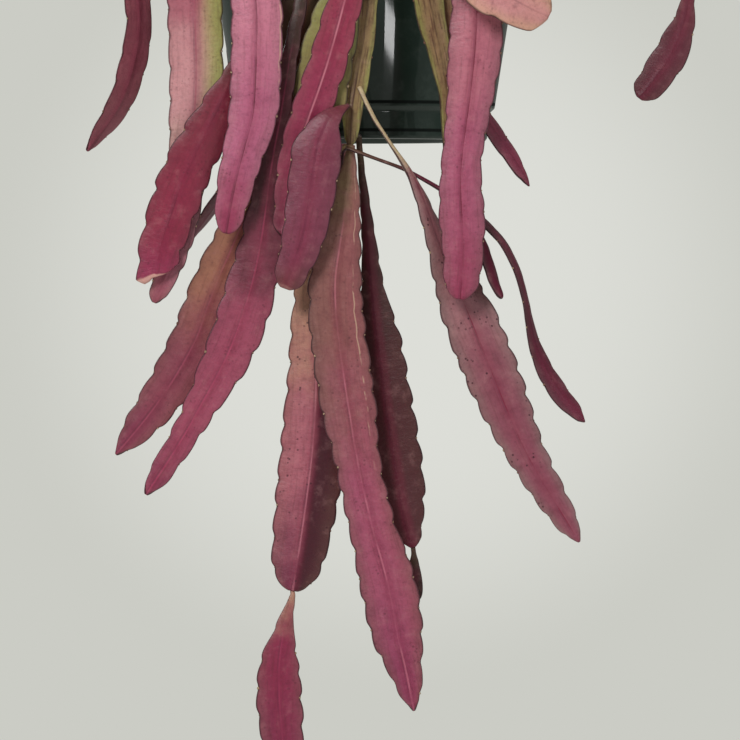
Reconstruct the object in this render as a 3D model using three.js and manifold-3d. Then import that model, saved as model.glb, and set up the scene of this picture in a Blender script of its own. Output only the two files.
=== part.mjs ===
// A rhipsalis with flat, jointed, leaf-like stems in a hanging nursery pot.
//
// The pot is a thin moulded shell with a stepped foot, drain holes and a rolled rim. It is filled with
// soil and hangs from a bent wire hook by three wires that hook through holes under the rim. Main stems
// root in the soil, arch over the rim and hang. Flat segments grow from them on thin necks.
//
// Units are millimetres and +Z is up. The pieces are laid out with z = 0 at the pot's underside and the
// pot's axis at x = y = 0, and the whole group is then lowered so that the origin is the point inside
// the hook where it bears on what holds it up. The front of the plant faces -Y.

import * as THREE from "three";
import { mergeVertices } from "three/addons/utils/BufferGeometryUtils.js";
import Module from "manifold-3d";

const wasm = await Module();
wasm.setup();

// Driving dimensions
const GAP = 0.35; // air left between pieces that touch
const POT_HEIGHT = 122;
const RIM_RADIUS = 72.4;
const WALL = 1.4;
const FOOT_RADIUS = 49;
const FOOT_HEIGHT = 12.2;
const FLOOR_TOP = 4.9;
const SOIL_TOP = 108;
const DRAIN_HOLES = { count: 6, radius: 3.5, fromAxis: 30 };
const HANGER_HEIGHT = 232; // from the pot's rim to the bearing point of the hook
const HOOK_WIRE = 3.2;
const HOOK_INNER_RADIUS = 14;
const EYE_INNER_RADIUS = 6;
const HANGER_WIRE = 2;
const HANGER_HOLE = { radius: 2.2, z: 114.6 };
const HANGER_AZIMUTHS = [60, 180, 300];
const BLADE_THICKNESS = 1.6;
const RING_STEP = 13; // spacing of the rings of a stem along its length

const ORIGIN_Z = POT_HEIGHT + HANGER_HEIGHT;
const radians = THREE.MathUtils.degToRad;

const green_plastic = new THREE.MeshStandardMaterial({ color: 0x2b3b38, roughness: 0.28, metalness: 0 });
const potting_soil = new THREE.MeshStandardMaterial({ color: 0x2e2219, roughness: 0.95, metalness: 0 });
const steel_wire = new THREE.MeshStandardMaterial({ color: 0x9a9c9c, roughness: 0.4, metalness: 1 });
const skins = {
  bark: new THREE.MeshStandardMaterial({ color: 0x7d7a45, roughness: 0.6 }),
  olive: new THREE.MeshStandardMaterial({ color: 0x8c8f4d, roughness: 0.5 }),
  pale: new THREE.MeshStandardMaterial({ color: 0xc98f8a, roughness: 0.45 }),
  rose: new THREE.MeshStandardMaterial({ color: 0xb8607c, roughness: 0.42 }),
  mauve: new THREE.MeshStandardMaterial({ color: 0x9a5468, roughness: 0.45 }),
  crimson: new THREE.MeshStandardMaterial({ color: 0x9c3350, roughness: 0.4 }),
  plum: new THREE.MeshStandardMaterial({ color: 0x7f3c50, roughness: 0.42 }),
  wine: new THREE.MeshStandardMaterial({ color: 0x5e2630, roughness: 0.45 }),
};

const plant = new THREE.Group();
plant.position.z = -ORIGIN_Z;

function add(name, geometry, material) {
  const mesh = new THREE.Mesh(geometry, material);
  mesh.name = name;
  plant.add(mesh);
}

// Azimuth 0 is the front, -Y, and 90 is +X.
function around(azimuth, radius, z) {
  return [radius * Math.sin(radians(azimuth)), -radius * Math.cos(radians(azimuth)), z];
}

// ---- Pot and soil ---------------------------------------------------------------------------------

// A profile is a list of [radius, z] that starts and ends on the axis, up the outside first.
function turned(profile, segments) {
  const points = profile.map(([r, z]) => new THREE.Vector2(r, z));
  return new THREE.LatheGeometry(points, segments).rotateX(Math.PI / 2);
}

function solidOf(geometry) {
  const bare = geometry.clone().deleteAttribute("normal").deleteAttribute("uv");
  const merged = mergeVertices(bare, 1e-3);
  const mesh = new wasm.Mesh({
    numProp: 3,
    vertProperties: merged.attributes.position.array,
    triVerts: new Uint32Array(merged.index.array),
  });
  return new wasm.Manifold(mesh);
}

function geometryOf(solid) {
  const mesh = solid.getMesh();
  const geometry = new THREE.BufferGeometry();
  geometry.setAttribute("position", new THREE.BufferAttribute(mesh.vertProperties, 3));
  geometry.setIndex(new THREE.BufferAttribute(mesh.triVerts, 1));
  geometry.computeVertexNormals();
  return geometry;
}

const wallOuter = { foot: FOOT_RADIUS + 2, ledge: 52.9, top: RIM_RADIUS - 4.4, topZ: 110 };
const potProfile = [
  [0, 2.5], [42, 2.5], [43.5, 0], [FOOT_RADIUS, 0], [FOOT_RADIUS + 0.8, 1],
  [wallOuter.foot, FOOT_HEIGHT], [wallOuter.ledge, FOOT_HEIGHT + 1.3],
  [wallOuter.top, wallOuter.topZ], [wallOuter.top + 1.4, wallOuter.topZ + 1], [wallOuter.top + 1.7, 118],
  [RIM_RADIUS, 118.6], [RIM_RADIUS, 121.2], [RIM_RADIUS - 1, POT_HEIGHT],
  [RIM_RADIUS - 3.4, POT_HEIGHT], [RIM_RADIUS - 4.3, 120.6],
  [wallOuter.top - WALL, wallOuter.topZ], [wallOuter.ledge - WALL, FOOT_HEIGHT + 1.6],
  [wallOuter.foot - WALL, FOOT_HEIGHT - 0.4], [FOOT_RADIUS - 0.6, FLOOR_TOP], [0, FLOOR_TOP],
];

function potShell() {
  const POT_SEGMENTS = 48;
  let pot = solidOf(turned(potProfile, POT_SEGMENTS));
  const THROUGH = 12; // longer than the floor or the wall is thick
  const { count, radius, fromAxis } = DRAIN_HOLES;
  const drain = new THREE.CylinderGeometry(radius, radius, THROUGH, 10).rotateX(Math.PI / 2);
  for (let i = 0; i < count; i += 1) {
    const [x, y, z] = around((360 * (i + 0.5)) / count, fromAxis, FLOOR_TOP);
    pot = pot.subtract(solidOf(drain.clone().translate(x, y, z)));
  }
  const hole = new THREE.CylinderGeometry(HANGER_HOLE.radius, HANGER_HOLE.radius, THROUGH, 12);
  for (const azimuth of HANGER_AZIMUTHS) {
    const [x, y, z] = around(azimuth, wallOuter.top, HANGER_HOLE.z);
    pot = pot.subtract(solidOf(hole.clone().rotateZ(radians(azimuth)).translate(x, y, z)));
  }
  return geometryOf(pot);
}

// The soil fills the pot to a little under the rim, a gap away from the wall.
function soilPlug() {
  const clear = WALL + GAP;
  const wallSlope = (wallOuter.top - wallOuter.ledge) / (wallOuter.topZ - FOOT_HEIGHT - 1.3);
  const topRadius = wallOuter.top - clear - wallSlope * (wallOuter.topZ - SOIL_TOP);
  return turned([
    [0, FLOOR_TOP + GAP], [FOOT_RADIUS - 0.6 - GAP, FLOOR_TOP + GAP],
    [wallOuter.foot - clear, FOOT_HEIGHT - 0.2], [wallOuter.ledge - clear - 0.2, FOOT_HEIGHT + 2],
    [topRadius, SOIL_TOP], [0, SOIL_TOP],
  ], 36);
}

add("pot", potShell(), green_plastic);
add("soil", soilPlug(), potting_soil);

// ---- Hanger: one hook and three wires -------------------------------------------------------------

function rod(points, diameter, steps, sides = 8) {
  const section = new THREE.Shape();
  for (let i = 0; i < sides; i += 1) {
    const turn = (2 * Math.PI * i) / sides;
    const at = [(diameter / 2) * Math.cos(turn), (diameter / 2) * Math.sin(turn)];
    if (i === 0) section.moveTo(...at);
    else section.lineTo(...at);
  }
  const path = new THREE.CatmullRomCurve3(points.map((p) => new THREE.Vector3(...p)));
  return new THREE.ExtrudeGeometry(section, { steps, extrudePath: path, bevelEnabled: false });
}

// The hook lies in the XZ plane: an open eye at the bottom, a straight shank and a round hook at the top.
const hookRadius = HOOK_INNER_RADIUS + HOOK_WIRE / 2;
const hookCentreZ = ORIGIN_Z - HOOK_INNER_RADIUS;
const eyeRadius = EYE_INNER_RADIUS + HOOK_WIRE / 2;
const eyeCentreZ = hookCentreZ - 52;

function hookPath() {
  const path = [];
  for (let turn = 318; turn >= 30; turn -= 24) { // the eye, from its cut end round to the shank
    const a = radians(turn + 90);
    path.push([eyeRadius * Math.cos(a), 0, eyeCentreZ + eyeRadius * Math.sin(a)]);
  }
  path.push([0, 0, eyeCentreZ + eyeRadius + 6]);
  path.push([0, 0, hookCentreZ - hookRadius - 7]);
  for (let turn = -70; turn <= 190; turn += 20) {
    const a = radians(turn);
    path.push([hookRadius * Math.cos(a), 0, hookCentreZ + hookRadius * Math.sin(a)]);
  }
  return path;
}

// Each wire ends in a small eye round the hook's eye and hooks outwards through its hole under the rim.
function wirePath(azimuth, lean) {
  const LOOP_RADIUS = 3.4;
  const outward = [Math.sin(radians(lean)), -Math.cos(radians(lean))];
  const loopCentre = eyeRadius + 0.5;
  const at = (along, y) => [outward[0] * along, y, eyeCentreZ + outward[1] * along];
  const path = [];
  for (let turn = 300; turn >= 30; turn -= 30) {
    const a = radians(turn);
    path.push(at(loopCentre + LOOP_RADIUS * Math.cos(a), LOOP_RADIUS * Math.sin(a)));
  }
  const neck = at(loopCentre + 8, 0);
  const wall = wallOuter.top;
  const foot = around(azimuth, wall - 3.8, 121);
  path.push(neck);
  for (const share of [0.3, 0.6, 0.85]) {
    path.push(neck.map((v, i) => v + share * (foot[i] - v)));
  }
  path.push(foot, around(azimuth, wall - 3.2, 117), around(azimuth, wall - 1, HANGER_HOLE.z + 0.1));
  path.push(around(azimuth, wall + 3.1, HANGER_HOLE.z + 0.3), around(azimuth, wall + 6.2, 117.2));
  path.push(around(azimuth, wall + 6.6, 121));
  return path;
}

add("hook", rod(hookPath(), HOOK_WIRE, 64), steel_wire);
HANGER_AZIMUTHS.forEach((azimuth, i) => {
  const lean = [35, 0, -35][i];
  add(`hanger_wire_${i + 1}`, rod(wirePath(azimuth, lean), HANGER_WIRE, 60, 6), steel_wire);
});

// ---- Stems and segments ---------------------------------------------------------------------------

// A stem is a solid of six-sided rings along a smooth curve, from its base to its tip. A route is a list
// of [x, y, z, width]. face is the compass angle of the stem's flat, spread evenly from base to tip:
// at 0 the width runs along X and the flat faces the front. tip is the length of the rounded end.
function stemSolid(route, face, tip) {
  const curve = new THREE.CatmullRomCurve3(route.map(([x, y, z]) => new THREE.Vector3(x, y, z)));
  const widths = new THREE.CatmullRomCurve3(route.map((p) => new THREE.Vector3(p[3], 0, 0)));
  const length = curve.getLength();
  const faces = new THREE.CatmullRomCurve3(
    (face.length > 1 ? face : [face[0], face[0]]).map((angle) => new THREE.Vector3(angle, 0, 0)),
  );
  const body = Math.max(5, Math.round((length - tip) / RING_STEP));
  const stations = [];
  for (let i = 0; i <= body; i += 1) stations.push(((length - tip) * i) / body);
  for (const share of [0.45, 0.8]) stations.push(length - tip + tip * share);

  const vertices = [];
  const SECTION = [[0.5, 0], [0.25, 0.5], [-0.25, 0.5], [-0.5, 0], [-0.25, -0.5], [0.25, -0.5]];
  for (const s of stations) {
    const u = s / length;
    const t = curve.getUtoTmapping(u);
    const inTip = Math.max(0, (s - (length - tip)) / tip);
    const width = widths.getPoint(t).x * Math.sqrt(1 - inTip * inTip);
    const thick = width < 3 ? 0.8 * width : Math.max(BLADE_THICKNESS, 2.4 - 0.16 * (width - 3));
    const centre = curve.getPoint(t);
    const along = curve.getTangent(t);
    const angle = radians(faces.getPoint(u).x);
    const across = new THREE.Vector3(Math.cos(angle), Math.sin(angle), 0);
    across.addScaledVector(along, -across.dot(along)).normalize();
    const out = new THREE.Vector3().crossVectors(along, across);
    for (const [a, b] of SECTION) {
      const p = centre.clone().addScaledVector(across, a * width).addScaledVector(out, b * thick);
      vertices.push(p.x, p.y, p.z);
    }
  }
  const end = curve.getPoint(1);
  vertices.push(end.x, end.y, end.z);

  const SIDES = SECTION.length;
  const faceList = [];
  for (let k = 2; k < SIDES; k += 1) faceList.push(0, k, k - 1);
  for (let ring = 0; ring < stations.length - 1; ring += 1) {
    for (let k = 0; k < SIDES; k += 1) {
      const a = ring * SIDES + k;
      const b = ring * SIDES + ((k + 1) % SIDES);
      faceList.push(a, b, a + SIDES, b, b + SIDES, a + SIDES);
    }
  }
  const last = (stations.length - 1) * SIDES;
  for (let k = 0; k < SIDES; k += 1) faceList.push(last + k, last + ((k + 1) % SIDES), last + SIDES);
  const geometry = new THREE.BufferGeometry();
  geometry.setAttribute("position", new THREE.Float32BufferAttribute(vertices, 3));
  geometry.setIndex(faceList);
  geometry.computeVertexNormals();
  return geometry;
}

function stem(name, skin, route, face = [0], tip = 6) {
  add(name, stemSolid(route, face, tip), skins[skin]);
}

// The first two points of a main stem, which leaves the soil straight up.
function rooted(x, y) {
  return [[x, y, SOIL_TOP + GAP, 4.5], [x, y, SOIL_TOP + 9, 4.5]];
}

// Main stems at the front, which arch over the rim and hang down the pot.
stem("stem_front", "bark", [
  ...rooted(-6, -22), [-3, -40, 137, 4.5], [2, -62, 148, 5], [4, -80, 127, 6],
  [3, -86, 92, 7], [1.2, -85, 52, 8], [-1.8, -84.8, 29, 9.5], [-5, -85, 11, 9.5], [-5.4, -86, 0, 6],
  [-6, -86.4, -7, 4],
], [0], 2);
stem("stem_front_left", "bark", [
  ...rooted(-24, -18), [-34, -38, 135, 4.5], [-46, -60, 144, 5], [-52, -76, 125, 5],
  [-54, -84, 103, 5], [-54, -86, 87, 4],
], [-38, -15], 2);
stem("stem_left_low", "bark", [
  ...rooted(-13, -28), [-21, -44, 139, 4.5], [-31, -66, 146, 5], [-38, -80, 122, 5],
  [-43, -88, 87, 5], [-47, -90.5, 52, 5], [-47, -89.5, 15, 4],
], [-30, 0], 2);
stem("stem_left_centre", "bark", [
  ...rooted(-10, -8), [-14, -34, 145, 4.5], [-17, -62, 152, 5], [-19, -79, 125, 5],
  [-19.5, -81, 101, 5], [-19, -80.5, 83, 4],
], [-12, 0], 2);
stem("stem_front_right", "olive", [
  ...rooted(9, -28), [12, -52, 138, 4.5], [15, -73, 133, 5.5], [17, -80, 107, 7],
  [20.5, -78, 77, 12], [25.5, -76.5, 52, 14], [28.2, -75.5, 37, 12], [31, -74.5, 25, 8.5],
  [32.4, -74, 12, 5.5], [33, -73, -11, 3.5],
], [10, 10, 20, 30, 30], 3);
stem("stem_right", "bark", [
  ...rooted(20, -18), [30, -42, 138, 4.5], [38, -66, 144, 5], [43, -80, 123, 5],
  [44, -87, 99, 5], [43.5, -88.5, 82, 4],
], [32, 0], 2);

// Segments at the front, left to right.
stem("segment_left_pale", "pale", [
  [-57.5, -85, 97, 2.6], [-64, -86.5, 85, 12], [-68, -88, 67, 20.5], [-68, -88, 45, 22],
  [-67.5, -88, 21, 21.5], [-69, -87.5, -1, 19], [-72, -87, -25, 12],
], [-10, 0, 0], 12);
stem("segment_left_wine", "wine", [
  [-50.5, -91.5, 30, 2.6], [-55.5, -92, 16, 11], [-63.5, -92.5, -1, 17.5], [-72, -92.5, -18, 19.5],
  [-77.5, -92, -34, 19], [-82, -91.5, -48, 17], [-84.5, -91, -62.5, 14],
], [8, 4, 0], 3);
stem("segment_left_curl", "mauve", [
  [-65, -89.2, -19, 2.4], [-71.5, -88, -36, 10], [-77, -87.5, -51, 11], [-84.5, -87, -69.2, 6],
], [0], 5);
stem("segment_left_rose", "rose", [
  [-53, -88.5, 84, 2.6], [-48, -94, 73, 14], [-43.5, -97, 52, 20.5], [-43.5, -98, 27, 20.5],
  [-44.5, -98, 7, 20], [-48, -97.5, -7, 17], [-52, -97, -23, 14.5], [-55.5, -96, -41.7, 10],
], [-12, 0, 3], 8);
stem("segment_left_sliver", "wine", [
  [-47, -88, 12, 2.4], [-50, -85, -9, 8], [-60, -82, -29, 11], [-70.8, -80, -44, 6],
], [20, 62, 62], 4);
stem("segment_fork_outer", "mauve", [
  [-38.8, -84.5, -12, 2.6], [-44, -82.5, -25, 9], [-53, -81, -46, 17.5], [-61, -81, -65, 19.5],
  [-67.5, -80.5, -83, 20], [-77, -80, -100, 18], [-87.5, -79.5, -115, 14], [-100, -79, -130, 9],
], [10, 4, 0], 8);
stem("segment_fork_inner", "plum", [
  [-20, -82, 80, 2.6], [-24.5, -87, 57, 5], [-29.5, -90, 32, 6], [-33.5, -90.3, 7, 8],
  [-37.5, -90, -15, 10.5], [-42, -88.5, -47, 17.5], [-47, -89, -68, 20.5], [-54.5, -89, -89, 19.5],
  [-65, -89, -109, 13.5], [-74, -88.5, -125, 10.5], [-87.7, -87.5, -146, 8.5],
], [0, 0, 0], 6);
stem("segment_centre_dark", "olive", [
  [-16, -78, 89, 2.6], [-20, -76, 73, 11], [-25, -76, 51, 17], [-28, -77, 31, 14], [-31, -78, 10, 9],
], [0, 8], 8);
stem("segment_centre_green", "olive", [
  [-1.8, -87.8, 81, 2.6], [-7, -88.3, 61, 14], [-13.5, -88.1, 37, 21], [-17.5, -87.8, 17, 22],
  [-19.2, -87.6, 3, 18.5], [-20.5, -87, -11, 11],
], [0], 9);
stem("segment_centre_crimson", "crimson", [
  [2.2, -88.6, 94, 2.6], [-1.5, -92, 73, 9], [-8, -93, 52, 14], [-12.5, -93.2, 35, 15],
  [-17.5, -92.5, 19, 15.5], [-22.5, -91.5, 5, 15.5], [-27.5, -91, -12, 14.5], [-33.3, -90.5, -42, 8],
], [0, 3, 0], 6);
stem("segment_centre_plum", "plum", [
  [-6.5, -87.9, 9.8, 2.2], [-11.5, -95.8, 7.5, 4], [-17, -98, -1, 18.5], [-20, -99, -15, 20],
  [-22, -99, -29, 19], [-25.5, -98.5, -46, 16.5], [-32, -97, -63.7, 11],
], [0], 7);
stem("segment_long_left", "mauve", [
  [-9.4, -85.2, -8, 2.4], [-13.8, -84, -23, 7], [-18.5, -83, -47, 13], [-20, -83, -71, 18],
  [-19.5, -83, -101, 23.5], [-20.7, -83, -125, 26], [-23.8, -83, -151, 25], [-29, -83, -184.7, 18],
], [0, -3, 0], 13);
stem("segment_long_centre", "rose", [
  [-5.7, -87.8, -8, 3], [-6.8, -89.2, -18, 8], [-8.5, -90, -36, 13.5], [-12, -90.5, -63, 21.5],
  [-9.5, -90.5, -91, 22.5], [-6.5, -90.5, -111, 22], [-2.5, -90.5, -135, 18], [3, -90.5, -159, 18.5],
  [9.5, -90, -183, 22.5], [13, -90, -202, 20.5], [16.5, -90, -217, 13], [19.6, -90, -232.5, 6],
], [0, 0, 4], 5);
stem("segment_long_shaded", "wine", [
  [-2.5, -82, -2, 2.2], [-1.3, -80.5, -17, 2.8], [1, -79, -38, 5], [3.2, -78, -63, 9],
  [5.5, -78, -83, 17.5], [8.7, -78, -108, 20.5], [12.5, -78, -133, 21], [15.6, -78, -152, 17], [19.3, -78, -167.5, 6],
], [0, -8, -4], 5);
stem("segment_shaded_end", "wine", [
  [19.6, -78, -169.8, 1.8], [19.8, -78.5, -175, 5], [17.5, -79.5, -187, 10], [10.5, -80, -210, 6],
], [0], 5);
stem("segment_lowest", "crimson", [
  [-28.8, -83.5, -185.6, 1.8], [-30.2, -84, -191, 2.8], [-32.4, -84.5, -200, 8], [-34.2, -85, -212, 15],
  [-34.4, -85, -227, 18.2], [-33, -85, -244, 16.8], [-31, -84, -277, 8],
], [0, 6, -10], 8);
stem("segment_right_ribbon", "wine", [
  [-7.6, -90.8, -7, 1.8], [-1, -92.6, -9.8, 1.6], [14, -90.5, -15, 1.6], [36, -88.5, -27.5, 2.4],
  [47, -88, -36.5, 7], [58, -88, -49.5, 9], [63.8, -88, -67, 8], [67.5, -88, -85, 8.5],
  [72.5, -88, -97, 9.5], [79, -88, -107, 9.5], [88, -88, -117, 5],
], [20, 30, 50, 70, 72, 40, 20], 4);
stem("segment_right_mauve", "mauve", [
  [-2.2, -87.6, 17, 1.8], [4.5, -92.3, 3, 1.8], [13.5, -94.5, -10.5, 1.8], [20, -94, -21.5, 5],
  [25.5, -92, -35, 10], [31.5, -90, -51, 15], [38, -89, -66, 20], [45, -88.5, -83, 22],
  [54, -88, -105, 21], [62, -88, -124, 16.5], [70.5, -88, -140, 13.5], [78.5, -88, -153, 11], [85.8, -88, -165, 6],
], [10, 50, 45, 15, 0, 0, 0], 5);
stem("segment_right_rose", "rose", [
  [43.6, -91, 78, 2.6], [44.5, -96, 65, 15], [44.8, -98.5, 51, 21], [44, -99.3, 33, 21.5],
  [42, -99.6, 14, 19], [39.6, -99.8, -4, 16.2], [38.2, -99.8, -16, 16], [38.5, -99.5, -31, 18.5],
  [39.2, -99, -47, 16.8], [38, -98.5, -68, 13],
], [-14, 0, -3, 4], 9);
stem("segment_right_pale", "pale", [
  [7.5, -86, 117, 2.6], [15, -95, 109, 11], [26, -104, 92, 20], [37, -109, 74, 24],
  [49.5, -112, 59, 24.5], [61, -113, 51, 22], [73.5, -113, 45, 15],
], [-20, -10, 0], 7);
stem("segment_right_spear", "crimson", [
  [35.2, -76.5, 22.5, 2.4], [41, -80, 14.5, 6], [48, -83, 4.5, 9], [56, -84, -7, 8.5], [65.8, -84, -22.6, 3.5],
], [35, 38], 4);
stem("segment_right_brown", "olive", [
  [23, -73, 91, 2.4], [26.5, -70.5, 73, 10], [30.5, -69.5, 51, 14], [34, -69, 33, 11], [37, -69, 14, 7],
], [0, -10], 6);
stem("segment_right_sliver", "wine", [
  [43.6, -92.2, -37.5, 2.2], [48, -92, -49, 7], [51, -91.5, -59, 7.5], [54.6, -92, -67.7, 4],
], [50, 58], 3);

// Segments at the two edges, which hang further back.
stem("segment_far_left", "wine", [
  [-92.6, 4, 107, 2.6], [-95.5, 3, 89, 11], [-94.5, 2, 67, 14], [-92.5, 2, 47, 14.5],
  [-96.5, 2, 24, 14.5], [-104, 2, 7, 13], [-114, 2, -6.5, 7],
], [40, 46, 46], 6);
stem("segment_far_right", "wine", [
  [131.5, 23, 75, 2.4], [133, 24, 58, 4.5], [128.5, 24, 40, 12.5], [121.5, 24, 27, 14], [112.5, 24, 15.5, 10],
], [10, -5], 5);

// ---- Sprays round the sides and back --------------------------------------------------------------

// A spray is a main stem that crosses the rim at one azimuth, with segments that hang from it.
// Each segment: [name, skin, share of the way down the stem's hanging part, sideways angle, distance
// out, length, width, swing of its tip sideways, turn of its flat].
const SPRAYS = [
  { name: "right_side", azimuth: 74, arch: 158, reach: 88, end: 112, segments: [
    ["drop", "rose", 0.4, -13, 95, 56, 18, -4, -14],
    ["trail", "mauve", 0.95, 7, 99, 44, 17, 6, 16],
  ] },
  { name: "right_back", azimuth: 122, arch: 151, reach: 91, end: 104, segments: [
    ["drop", "crimson", 0.4, -13, 96, 48, 18, -6, 10],
    ["trail", "rose", 0.95, 8, 97, 40, 17, 6, -12],
  ] },
  { name: "back_right", azimuth: 158, arch: 157, reach: 86, end: 72, segments: [
    ["drop", "plum", 0.6, -6, 95, 84, 18, 2, -12],
    ["trail", "rose", 0.95, 9, 90, 70, 20, 3, 10],
  ] },
  { name: "back", azimuth: 188, arch: 149, reach: 93, end: 84, segments: [
    ["trail", "mauve", 0.9, 2, 99, 206, 21, 0, -14],
  ] },
  { name: "back_left", azimuth: 203, arch: 156, reach: 86, end: 66, segments: [
    ["drop", "crimson", 0.5, -8, 92, 128, 19, 3, 14],
    ["trail", "rose", 0.95, 7, 95, 84, 20, 3, -10],
  ] },
  { name: "left_back", azimuth: 235, arch: 150, reach: 90, end: 102, segments: [
    ["drop", "mauve", 0.4, -12, 96, 50, 18, -5, 12],
    ["trail", "plum", 0.95, 7, 97, 40, 18, 4, -14],
  ] },
  { name: "left_side", azimuth: 268, arch: 156, reach: 87, end: 96, segments: [
    ["drop", "rose", 0.25, 15, 95, 62, 19, 5, 12],
    ["trail", "wine", 0.5, -10, 98, 52, 18, -4, -12],
  ] },
];

function cylindrical(azimuth, radius, z, width) {
  return [...around(azimuth, radius, z), width];
}

for (const spray of SPRAYS) {
  const { azimuth, arch, reach, end } = spray;
  stem(`stem_${spray.name}`, "bark", [
    ...rooted(...around(azimuth, 30, 0)), cylindrical(azimuth, 44, arch - 8, 4.5),
    cylindrical(azimuth, 66, arch, 5), cylindrical(azimuth, reach - 5, arch - 26, 6),
    cylindrical(azimuth, reach, (arch + end) / 2 - 14, 6), cylindrical(azimuth, reach, end, 4.5),
  ], [azimuth], 2);
  for (const [name, skin, share, aside, out, length, width, swing, turn] of spray.segments) {
    const top = arch - 30 - share * (arch - 30 - end);
    const side = Math.sign(aside);
    const at = (fraction, radius, extra, w) =>
      cylindrical(azimuth + aside + extra, radius, top - fraction * length, w);
    const base = cylindrical(azimuth + side * 2.9, reach + (out - reach) * 0.12, top, 2.6);
    stem(`segment_${spray.name}_${name}`, skin, [
      base, at(0.09, reach + (out - reach) * 0.7, -aside * 0.35, 0.55 * width), at(0.25, out, 0, width),
      at(0.5, out, swing * 0.15, width), at(0.78, out - 2, swing * 0.55, 0.92 * width),
      at(1, out - 4, swing, 0.5 * width),
    ], [azimuth, azimuth + aside + turn * 0.6, azimuth + aside + turn], 0.45 * width);
  }
}

// The right side's main stem reaches further out before it hangs, and carries the far right segment.
stem("stem_far_right", "bark", [
  ...rooted(30, 6), [50, 10, 146, 4.5], [78, 16, 158, 4.5], [106, 20, 144, 4.5],
  [124, 22, 112, 4], [131, 22.5, 78, 2.6],
], [88, 60, 10], 2);
stem("segment_top_young", "olive", [
  [-4, 16, SOIL_TOP + GAP, 2.6], [-4.5, 16.5, SOIL_TOP + 8, 3], [-8, 20, 130, 8], [-16, 26, 152, 15], [-30, 34, 172, 15], [-48, 42, 180, 8],
], [150], 6);

export default plant;
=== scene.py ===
import math
import random

import bmesh
import bpy
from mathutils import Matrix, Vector, noise
from mathutils.bvhtree import BVHTree


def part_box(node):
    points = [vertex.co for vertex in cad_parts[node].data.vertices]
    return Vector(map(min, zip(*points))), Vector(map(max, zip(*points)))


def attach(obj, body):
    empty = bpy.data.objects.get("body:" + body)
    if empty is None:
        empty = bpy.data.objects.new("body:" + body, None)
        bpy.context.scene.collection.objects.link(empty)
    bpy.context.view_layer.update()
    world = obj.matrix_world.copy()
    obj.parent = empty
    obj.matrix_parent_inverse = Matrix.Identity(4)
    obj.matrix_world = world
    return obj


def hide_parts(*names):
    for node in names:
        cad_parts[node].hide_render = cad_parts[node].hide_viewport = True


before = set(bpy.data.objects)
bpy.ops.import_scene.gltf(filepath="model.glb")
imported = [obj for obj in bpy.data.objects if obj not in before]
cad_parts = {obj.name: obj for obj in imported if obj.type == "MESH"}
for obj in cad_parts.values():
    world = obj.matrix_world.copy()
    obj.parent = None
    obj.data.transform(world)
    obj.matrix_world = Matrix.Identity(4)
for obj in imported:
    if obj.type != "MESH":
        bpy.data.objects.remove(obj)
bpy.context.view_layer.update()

MM = 0.001
MERGE_DISTANCE = 0.005 * MM

# Studio
# The plant hangs in front of a pale wall of light, high over a pale floor. The camera looks at the
# lower half of the pot and the stems below it, level and from a good way off.
POT_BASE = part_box("pot")[0].z
CAMERA_DISTANCE = 4.2
CAMERA_LENS = 500
CAMERA_DROP = 0.096
CAMERA_SIDE = 0.002

camera_data = bpy.data.cameras.new("camera")
camera_data.lens = CAMERA_LENS
camera = bpy.data.objects.new("camera", camera_data)
camera.location = (CAMERA_SIDE, -CAMERA_DISTANCE, POT_BASE - CAMERA_DROP)
camera.rotation_euler = (math.radians(90), 0, 0)
bpy.context.collection.objects.link(camera)
bpy.context.scene.camera = camera
bpy.context.scene.view_settings.view_transform = "Standard"


def srgb(red, green, blue):
    """A colour given as 0 to 255 on a screen, as the linear colour that shaders take."""
    def linear(level):
        level /= 255
        return level / 12.92 if level <= 0.04045 else ((level + 0.055) / 1.055) ** 2.4
    return (linear(red), linear(green), linear(blue), 1)


WALL_COLOUR = srgb(203, 204, 197)
GLOW_COLOUR = srgb(221, 222, 216)
GLOW_DIRECTION = Vector((CAMERA_SIDE, 1, 0.008)).normalized()
GLOW_RADIUS = math.radians(2.3)
world = bpy.data.worlds.new("studio")
world.use_nodes = True
bpy.context.scene.world = world
nodes = world.node_tree.nodes
links = world.node_tree.links
wall_seen = nodes["Background"]
wall_light = nodes.new("ShaderNodeBackground")
wall_light.inputs["Color"].default_value = WALL_COLOUR
wall_light.inputs["Strength"].default_value = 0.33
direction = nodes.new("ShaderNodeTexCoord")
nearness = nodes.new("ShaderNodeVectorMath")
nearness.operation = "DOT_PRODUCT"
nearness.inputs[1].default_value = GLOW_DIRECTION
links.new(direction.outputs["Generated"], nearness.inputs[0])
glow = nodes.new("ShaderNodeMapRange")
glow.interpolation_type = "SMOOTHSTEP"
glow.inputs["From Min"].default_value = math.cos(GLOW_RADIUS)
glow.inputs["From Max"].default_value = 1.0
links.new(nearness.outputs["Value"], glow.inputs["Value"])
wall_paint = nodes.new("ShaderNodeMix")
wall_paint.data_type = "RGBA"
wall_paint.inputs[6].default_value = WALL_COLOUR
wall_paint.inputs[7].default_value = GLOW_COLOUR
links.new(glow.outputs["Result"], wall_paint.inputs["Factor"])
links.new(wall_paint.outputs[2], wall_seen.inputs["Color"])
light_path = nodes.new("ShaderNodeLightPath")
mix = nodes.new("ShaderNodeMixShader")
links.new(light_path.outputs["Is Camera Ray"], mix.inputs["Fac"])
links.new(wall_light.outputs["Background"], mix.inputs[1])
links.new(wall_seen.outputs["Background"], mix.inputs[2])
links.new(mix.outputs["Shader"], nodes["World Output"].inputs["Surface"])


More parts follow.
